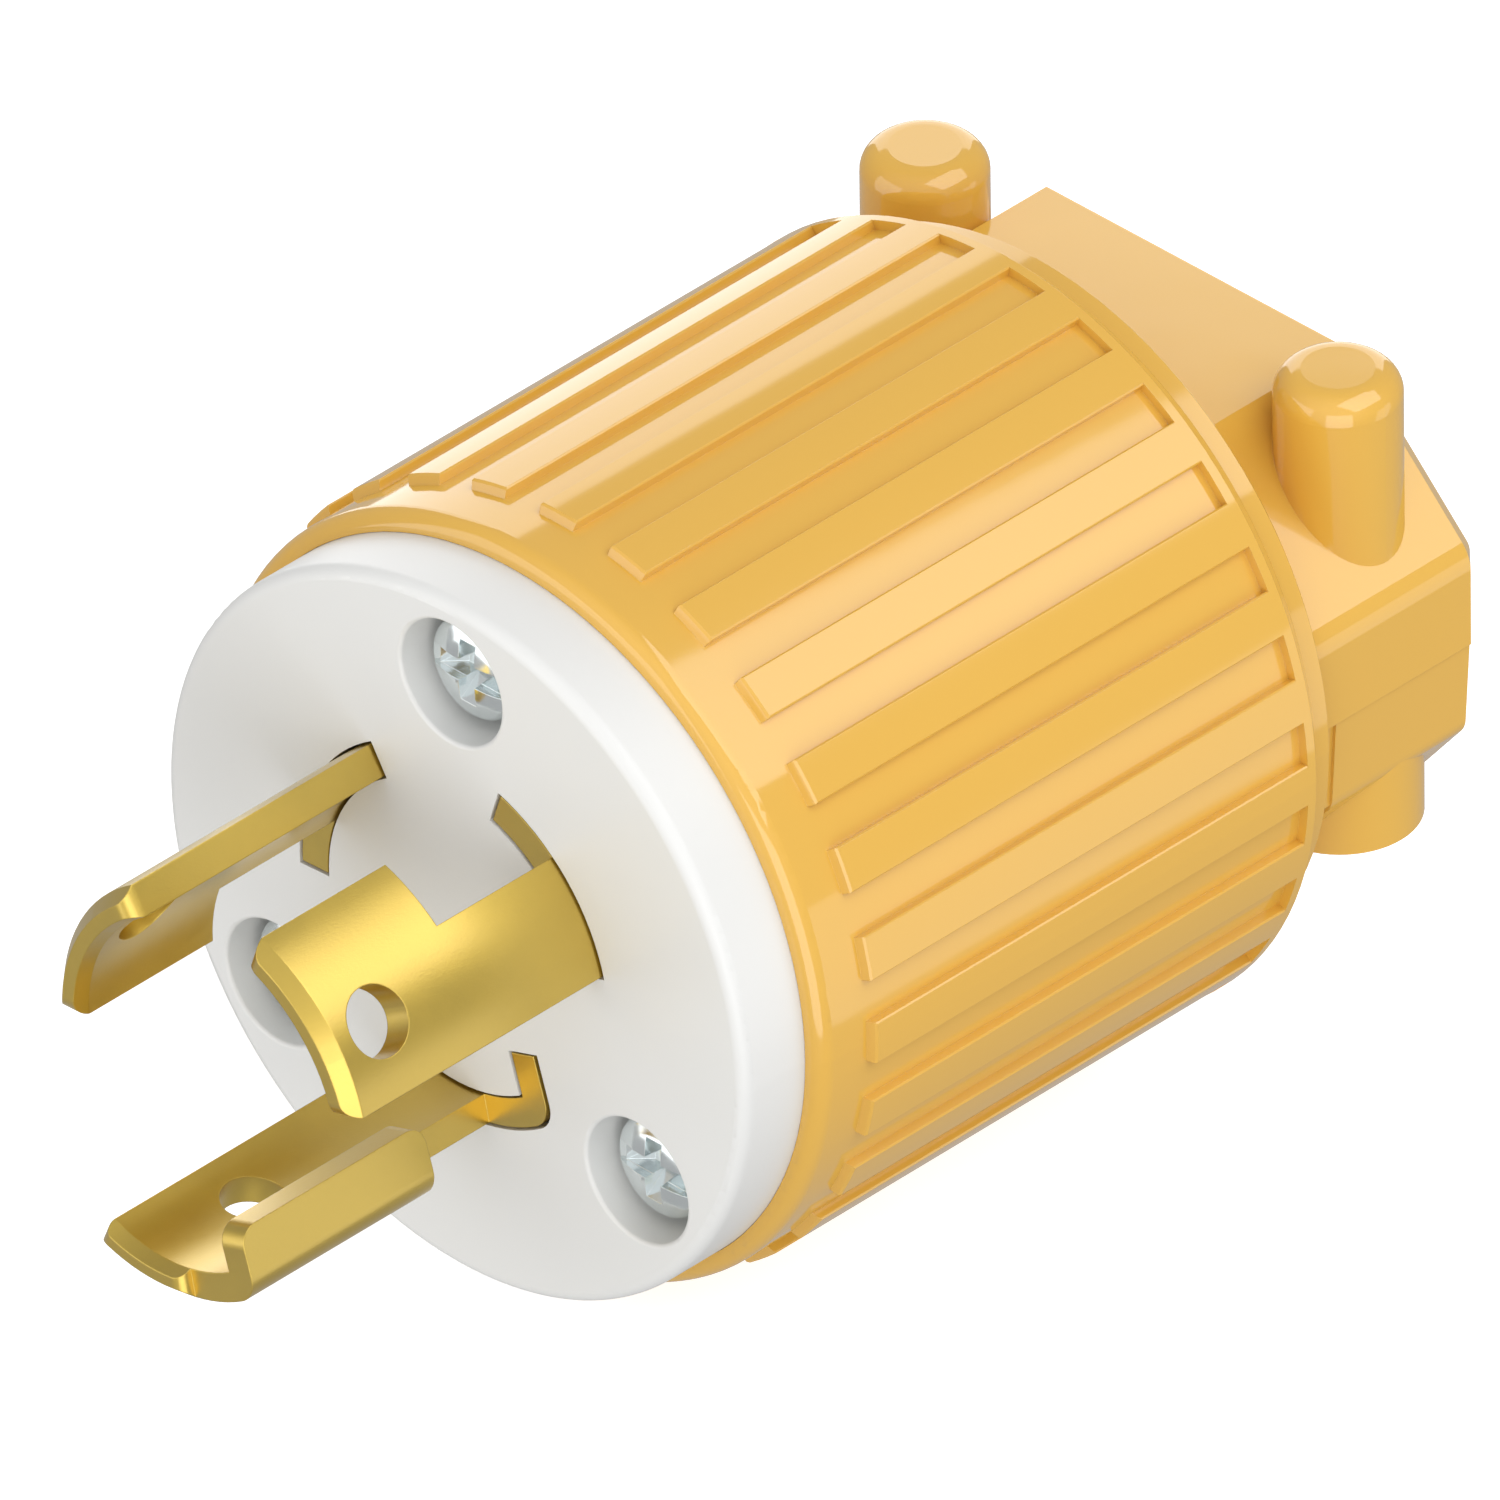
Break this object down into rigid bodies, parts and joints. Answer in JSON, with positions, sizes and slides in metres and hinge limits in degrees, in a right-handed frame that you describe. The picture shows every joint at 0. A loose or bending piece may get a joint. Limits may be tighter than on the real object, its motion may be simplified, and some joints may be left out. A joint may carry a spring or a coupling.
{
  "type": "locking power plug",
  "caption": "Cord plug with a ribbed cylindrical sleeve, a round face with curved blades that push in and twist to lock, and a screwed cord clamp at the back.",
  "frame": {"origin": "centre of the flat front face, on the plug's axis", "axes": "-Y the way the blades point, +Y the way the cord leaves, +Z the way the posts of the fixed clamp half point"},
  "size_m": [0.0364, 0.0638, 0.0364],
  "materials": {
    "yellow_nylon": "moulded, glossy",
    "white_nylon": "moulded, satin",
    "brass": "stamped, satin",
    "zinc_steel": "zinc plated",
    "green_steel": "green coated"
  },
  "bodies": {
    "root": {"shell": "yellow_nylon", "face_insert": "white_nylon", "terminal_base": "white_nylon", "cord_clamp": "yellow_nylon", "blade_line_1": "brass", "blade_line_2": "brass", "blade_ground": "brass", "face_screw_1": "zinc_steel", "face_screw_2": "zinc_steel", "face_screw_3": "zinc_steel", "terminal_screw_1": "zinc_steel", "terminal_screw_2": "zinc_steel", "terminal_screw_3": "green_steel", "pressure_plate_1": "zinc_steel", "pressure_plate_2": "zinc_steel", "pressure_plate_3": "zinc_steel", "clamp_screw_left": "zinc_steel", "clamp_screw_right": "zinc_steel", "clamp_thread_left": "brass", "clamp_thread_right": "brass"}
  },
  "joints": []
}
